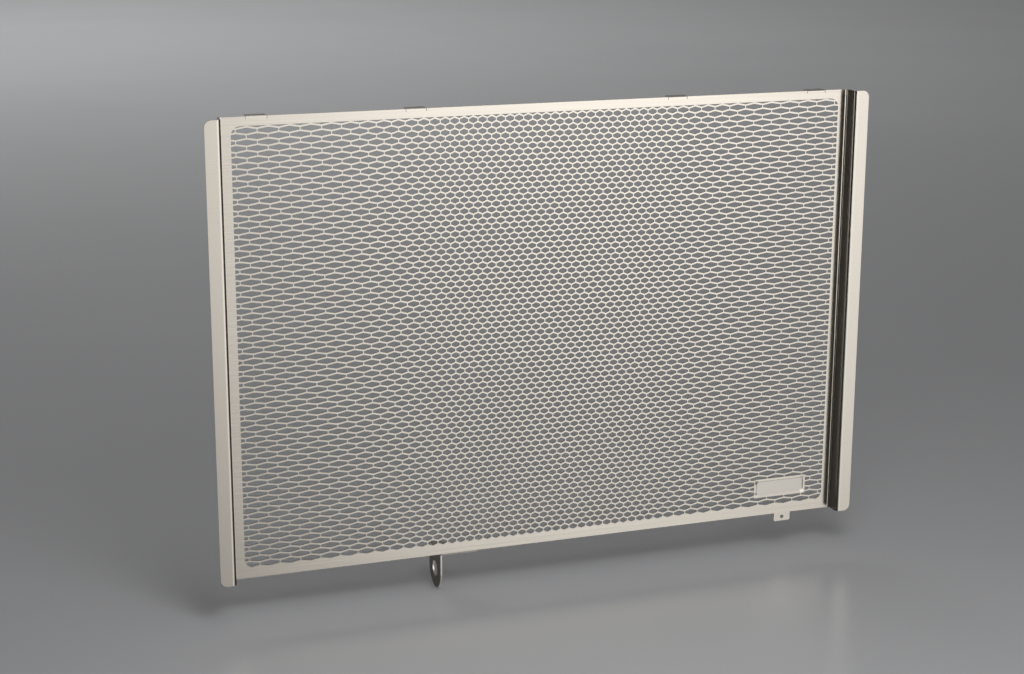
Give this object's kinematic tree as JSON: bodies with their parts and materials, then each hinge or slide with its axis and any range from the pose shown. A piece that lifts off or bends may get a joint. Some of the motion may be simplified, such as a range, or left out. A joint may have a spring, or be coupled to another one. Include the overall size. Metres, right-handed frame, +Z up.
{
  "type": "motorcycle radiator guard",
  "caption": "Stainless radiator guard for a motorcycle: hexagon mesh panel, folded side strips, top tabs, bolt tongue",
  "frame": {"origin": "centre of the panel's back face, which lies against the radiator core", "axes": "+X along the panel to its right as seen from the front, +Y back towards the radiator, +Z up"},
  "size_m": [0.34, 0.0289, 0.2464],
  "materials": {
    "stainless": "hairline brushed along the width"
  },
  "bodies": {
    "root": {"guard_sheet": "stainless"}
  },
  "joints": []
}
